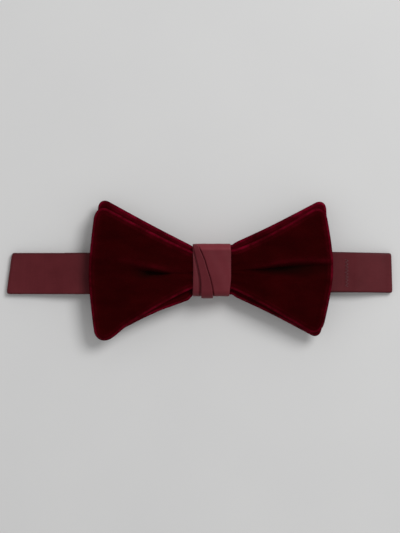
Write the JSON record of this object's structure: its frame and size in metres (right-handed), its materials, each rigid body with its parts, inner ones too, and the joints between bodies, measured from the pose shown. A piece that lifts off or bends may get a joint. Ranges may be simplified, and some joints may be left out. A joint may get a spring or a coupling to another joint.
{
  "type": "bow tie",
  "caption": "Ready-tied velvet bow tie: two layered blades in a satin knot, on an adjustable satin neckband folded flat behind it, with hook and eye.",
  "frame": {"origin": "on the surface that the tie lies on, straight behind the knot's centre", "axes": "+Z out of the bow's face, +X along the neckband to the viewer's right, +Y up across the bow"},
  "size_m": [0.1885, 0.068, 0.0165],
  "materials": {
    "velvet": "deep burgundy cotton velvet with a short pile, brighter along its edges",
    "backing_satin": "burgundy lining satin on the blades' backs",
    "canvas": "plain woven interlining",
    "knot_satin": "wine satin with fine slubs",
    "band_satin": "wine satin ribbon with fine slubs",
    "thread": "tonal sewing thread",
    "label": "plain woven label with nothing on it",
    "metal": "nickel-plated stamped steel"
  },
  "bodies": {
    "root": {"front_velvet": "velvet", "front_canvas": "canvas", "front_backing": "backing_satin", "rear_velvet": "velvet", "rear_canvas": "canvas", "rear_backing": "backing_satin", "knot_wrap": "knot_satin", "knot_canvas": "canvas", "knot_tuck": "knot_satin", "knot_seam_stitches": "thread", "front_band": "band_satin", "front_band_canvas": "canvas", "left_fold": "band_satin", "right_fold": "band_satin", "band_bar_tack": "thread", "blank_label": "label", "label_stitches": "thread"},
    "left_strand": {"short_band": "band_satin", "short_band_canvas": "canvas", "eye_loop": "band_satin", "eye_bar_tack": "thread"},
    "eye": {"eye": "metal"},
    "right_strand": {"long_band": "band_satin", "long_band_canvas": "canvas", "take_up_ply": "band_satin"},
    "slide": {"adjuster_slide": "metal", "tail_wrap": "band_satin", "tail_bar_tack": "thread", "tail_ply": "band_satin"},
    "hook_end": {"hook_loop": "band_satin"},
    "hook": {"hook": "metal"}
  },
  "joints": [
    {"name": "left_band_fold", "type": "hinge", "parent": "root", "child": "left_strand", "pos_m": [-0.0996, 0, 0.0016], "axis": [0, 1, 0], "range_deg": [0, 179]},
    {"name": "right_band_fold", "type": "hinge", "parent": "root", "child": "right_strand", "pos_m": [0.0881, 0, 0.0016], "axis": [0, -1, 0], "range_deg": [0, 179]},
    {"name": "eye_swing", "type": "hinge", "parent": "left_strand", "child": "eye", "pos_m": [-0.059, 0, 0.0016], "axis": [0, 1, 0], "range_deg": [0, 75]},
    {"name": "adjuster_travel", "type": "slide", "parent": "right_strand", "child": "slide", "axis": [1, 0, 0], "range_m": [0, 0.034], "deforming": ["tail_ply"]},
    {"name": "hook_end_travel", "type": "slide", "parent": "slide", "child": "hook_end", "axis": [1, 0, 0], "range_m": [-0.017, 0], "deforming": ["take_up_ply"]},
    {"name": "hook_swing", "type": "hinge", "parent": "hook_end", "child": "hook", "pos_m": [-0.033, 0, 0.0016], "axis": [0, -1, 0], "range_deg": [0, 75]}
  ],
  "couplings": [
    {"joint": "hook_end_travel", "follows": "adjuster_travel", "ratio": -0.5}
  ]
}
